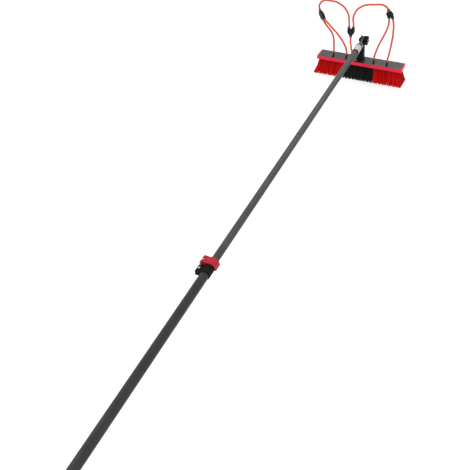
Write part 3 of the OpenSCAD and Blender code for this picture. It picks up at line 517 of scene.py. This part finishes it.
# ---- Clamp --------------------------------------------------------------------------------------
# A moulded split collar, pinched on the lower tube by a screw and nut through its lug. The red
# lever turns on a steel pin, whose bolt draws the collar together. A bush and a seal ring inside
# guide the upper tube.
lever_red = moulded_finish(
    "lever_red", (0.47, 0.013, 0.030), 0.38, grain=0.00003, coat=0.04, mottle=0.08, shine=0.2
)
slide_white = moulded_finish("slide_white", (0.78, 0.77, 0.72), 0.4)
steel = metal_finish("steel", (0.62, 0.62, 0.61), 0.28)
dress(black_moulding, "clamp_body")
dress(lever_red, "clamp_lever")
dress(slide_white, "guide_bush")
dress(seal_black, "tube_seal")
dress(steel, "tension_bolt", "tension_nut", "barrel_pin", "fixing_screw", "fixing_nut")

# ---- Slide inside the pole ----------------------------------------------------------------------
# A plug in the upper tube's lower end runs in the lower tube on two rubber rings, so that the
# water passes from one tube to the other.
dress(slide_white, "guide_plug")
dress(seal_black, "piston_rings")

# ---- Pole end and hinge neck --------------------------------------------------------------------
# A white moulded sleeve over a black liner covers the upper tube's end. The grey neck's shank is
# pushed into the tube, against a seal ring, and held by a steel cross pin.
sleeve_white = moulded_finish(
    "sleeve_white", (0.58, 0.56, 0.55), 0.45, grain=0.00002, mottle=0.03
)
neck_grey = moulded_finish("neck_grey", (0.075, 0.077, 0.078), 0.40)
dress(sleeve_white, "end_sleeve")
dress(black_moulding, "end_ring")
dress(neck_grey, "hinge_neck")
dress(steel, "neck_pin")
dress(seal_black, "neck_seal")

# ---- Socket and star knob -----------------------------------------------------------------------
# The black fork is screwed to the plate. A steel bolt passes through it and through the neck,
# between two friction washers, and the knob, moulded on a brass insert, tightens it.
dress(black_moulding, "socket", "star_knob")
dress(slide_white, "friction_washers")
dress(steel, "socket_screws", "hinge_bolt", "thrust_washer")
dress(brass, "knob_insert")

# ---- Stock and top plate ------------------------------------------------------------------------
# The crimson stock is one glossy moulding, which holds the bristles below. The duller grey plate
# lies in its upper face and carries the fork and the jets.
crimson = moulded_finish(
    "crimson", (0.88, 0.014, 0.060), 0.32, grain=0.00002, coat=0.06, mottle=0.05, shine=0.2
)
plate_grey = moulded_finish("plate_grey", (0.068, 0.072, 0.072), 0.5, grain=0.00006)
dress(crimson, "stock_body")
dress(plate_grey, "top_plate")

# ---- Water fittings -----------------------------------------------------------------------------
# Push-in fittings of black nylon: an elbow beside the pole, three Ys, and four jets with brass
# tips in the plate. A dark collar lets its hose go when pressed; at the Ys it sits on a pale ring.
fitting_black = moulded_finish(
    "fitting_black", (0.005, 0.007, 0.012), 0.34, grain=0.00002, shine=0.2
)
collar_dark = moulded_finish("collar_dark", (0.045, 0.014, 0.04), 0.35)
ring_pale = moulded_finish("ring_pale", (0.42, 0.43, 0.46), 0.4)
dress(fitting_black, "outlet_elbow", "centre_y", "left_y", "right_y")
dress(fitting_black, "jet_a", "jet_b", "jet_c", "jet_d")
dress(collar_dark, "elbow_collar", "y_collars")
dress(ring_pale, "y_rings")
dress(brass, "spray_tips")

# ---- Bristles -----------------------------------------------------------------------------------
# Synthetic bristles, folded and stapled in tufts into the underside: red at both ends, black in
# the middle. Use has splayed them outwards, and each tuft has opened a little at its tip.
tuft_pitch_x = 0.00775
tuft_pitch_y = 0.008
tufts_along = 50
tufts_across = 8
field_columns = {"bristles_left": (0, 16), "bristles_centre": (16, 34), "bristles_right": (34, 50)}
jet_columns = (8, 16, 33, 41)
jet_row = 1
strands_per_tuft = 52
clump_ends = (0, 3, 5, 8, 11, 13, 16, 18, 20, 22, 24, 26, 28, 30, 32, 34, 37, 39, 42, 45, 47, 50)
clump_draw = 0.1
strand_width = 0.0011
strand_taper = np.array([1.0, 1.0, 0.8])
strand_points = 9
darkest_strand = 0.55
tuft_root_radius = 0.0026
tuft_tip_radius = 0.0042
tuft_lean = 0.0006
tuft_lean_most = 0.0009
clump_edge_lift = 0.0014
# Share of painted shade at a clump's edge, standing in for the shadow in the gaps between clumps.
clump_edge_painted_shade = 0.45
uneven_tips = 0.002
bend_height = 0.5
bend_back = 0.12
bristle_reach = (0.213, 0.048)
bristle_length = stock_low.z
root_into_slice = 0.0002
slice_depth = 0.003
slice_gap = 0.0001


def bristle_finish(name, root, tip, roughness):
    """Bristles: each has its own tone, darkened by painted shade at the clump edges, and it pales
    from root to tip.
    """
    finish = Finish(name)
    # The shade attribute holds each strand's own tone times the painted shade at its clump's edge.
    shade = finish.add("ShaderNodeAttribute", {"attribute_name": "shade"}, output="Fac")
    height = finish.add("ShaderNodeSeparateXYZ", {}, {"Vector": finish.place()}, output="Z")
    down = finish.ramp(height, 0.0, bristle_length, 1.0, 0.5)
    return finish.surface(
        Base_Color=finish.mix(shade * down, root, tip),
        Roughness=finish.ramp(shade, 0.0, 1.0, roughness, roughness + 0.2),
        Specular_IOR_Level=0.15,
    )


def strands(columns, rows, generator):
    """Three-sided bristles of all the tufts, bent once between root and tip.

    A root lies in its tuft's circle. The tip is the tuft's middle times the spread of the whole
    field, plus the root's offset times the tuft's own opening and the tuft's lean. Neighbouring
    columns form a clump: each tip is drawn towards its clump's middle by a fixed share, and those
    at the clump's edge are lifted by the square of their distance from it. The bend lies half way
    down, at the middle less 12% of the way from root to tip, so that the bristle curves outwards.
    """
    column, row = (a.ravel() for a in np.meshgrid(columns, rows, indexing="ij"))
    sprayed = (row == jet_row) & np.isin(column, jet_columns)
    column, row = column[~sprayed], row[~sprayed]
    tuft_x = (column + 0.5 - tufts_along / 2) * tuft_pitch_x
    tuft_y = (row + 0.5 - tufts_across / 2) * tuft_pitch_y
    tuft = np.stack([tuft_x, tuft_y], axis=1)[:, None]
    ends = np.array(clump_ends)
    clump = np.searchsorted(ends, column, side="right") - 1
    clump_x = ((ends[clump] + ends[clump + 1]) / 2 - tufts_along / 2) * tuft_pitch_x
    clump_half = (ends[clump + 1] - ends[clump])[:, None] / 2 * tuft_pitch_x
    outer = np.array([(tufts_along - 1) / 2 * tuft_pitch_x, (tufts_across - 1) / 2 * tuft_pitch_y])
    spread = (np.array(bristle_reach) - tuft_tip_radius - strand_width) / outer
    size = (len(column), strands_per_tuft)
    radius = np.sqrt(generator.uniform(0, 1, size))
    angle = generator.uniform(0, 2 * np.pi, size)
    offset = np.stack([radius * np.cos(angle), radius * np.sin(angle)], axis=-1)
    root = tuft + offset * tuft_root_radius
    lean = generator.normal(0, tuft_lean, (len(column), 1, 2))
    lean = lean.clip(-tuft_lean_most, tuft_lean_most)
    tip = tuft * spread + offset * tuft_tip_radius + lean
    off_middle = (tuft_x - clump_x)[:, None] + offset[..., 0] * tuft_tip_radius
    edge = np.abs(off_middle / clump_half).clip(0, 1.2)
    pull = np.where(np.abs(tuft_x) > outer[0] - tuft_pitch_x, 0.0, clump_draw)
    tip[..., 0] -= pull[:, None] * off_middle
    bend = 0.5 * (root + tip) - bend_back * (tip - root)
    drop = generator.uniform(0, 1, size) ** 3 * uneven_tips + clump_edge_lift * edge**2
    root_z = np.full(size, bristle_length + root_into_slice)
    bend_z = np.full(size, bristle_length * bend_height)
    levels = np.stack([root_z, bend_z, drop], axis=-1)
    line = np.concatenate([np.stack([root, bend, tip], axis=2), levels[..., None]], axis=-1)
    line = line.reshape(-1, 3, 3) + np.array([head_origin.x, head_origin.y, 0])
    spin = generator.uniform(0, 2 * np.pi, len(line))
    corner = spin[:, None] + np.arange(3) * 2 * np.pi / 3
    ring = np.stack([np.cos(corner), np.sin(corner), np.zeros_like(corner)], axis=-1)
    width = strand_width / 2 * strand_taper
    points = line[:, :, None] + ring[:, None] * width[None, :, None, None]
    tones_and_painted_shade = generator.uniform(darkest_strand, 1, len(line))
    # Each strand's own random tone, then painted shade that darkens the strands towards their
    # clump's edge, where the gaps between clumps lie.
    tones_and_painted_shade *= (1 - clump_edge_painted_shade * edge.reshape(-1) ** 3).clip(0, 1)
    return points.reshape(-1, 3), tones_and_painted_shade


box_faces = [(0, 2, 3, 1), (4, 5, 7, 6), (0, 1, 5, 4), (1, 3, 7, 5), (3, 2, 6, 7), (2, 0, 4, 6)]
red_bristle = bristle_finish("bristle_red", (0.42, 0.0005, 0.001), (1.0, 0.008, 0.004), 0.4)
black_bristle = bristle_finish("bristle_black", (0.002, 0.003, 0.003), (0.018, 0.024, 0.023), 0.35)
generator = np.random.default_rng(7)
for field_name, (first_column, last_column) in field_columns.items():
    columns = np.arange(first_column, last_column)
    points, tones_and_painted_shade = strands(columns, np.arange(tufts_across), generator)
    base = np.arange(len(tones_and_painted_shade))[:, None, None] * strand_points
    side = np.arange(3)
    quads = np.stack([side, side + 3, (side + 1) % 3 + 3, (side + 1) % 3], axis=-1)
    quads = (base + np.concatenate([quads, quads + 3])[None]).reshape(-1, 4)
    tips = base[:, 0] + np.array([6, 8, 7])
    # The slice that holds the roots, seated in the stock's underside.
    slice_x = [(c - tufts_along / 2) * tuft_pitch_x for c in (first_column, last_column)]
    slice_x = [slice_x[0] + slice_gap, slice_x[1] - slice_gap]
    slice_y = [-tufts_across / 2 * tuft_pitch_y, tufts_across / 2 * tuft_pitch_y]
    slice_z = [bristle_length, bristle_length + slice_depth]
    block = np.array([(x, y, z) for z in slice_z for y in slice_y for x in slice_x])
    block += np.array([head_origin.x, head_origin.y, 0])
    faces = quads.tolist() + tips.tolist() + (np.array(box_faces) + len(points)).tolist()
    field = new_piece(field_name + "_strands", np.vstack([points, block]), faces, smooth=False)
    # Each strand's tone with its painted clump-edge shade, stored on its points; the slice gets
    # none.
    shade = field.data.attributes.new("shade", "FLOAT", "POINT")
    values = np.r_[np.repeat(tones_and_painted_shade, strand_points), np.zeros(len(block))]
    shade.data.foreach_set("value", values.astype(np.float32))
    black = field_name == "bristles_centre"
    field.data.materials.append(black_bristle if black else red_bristle)
    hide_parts(field_name)
    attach(field, "head")
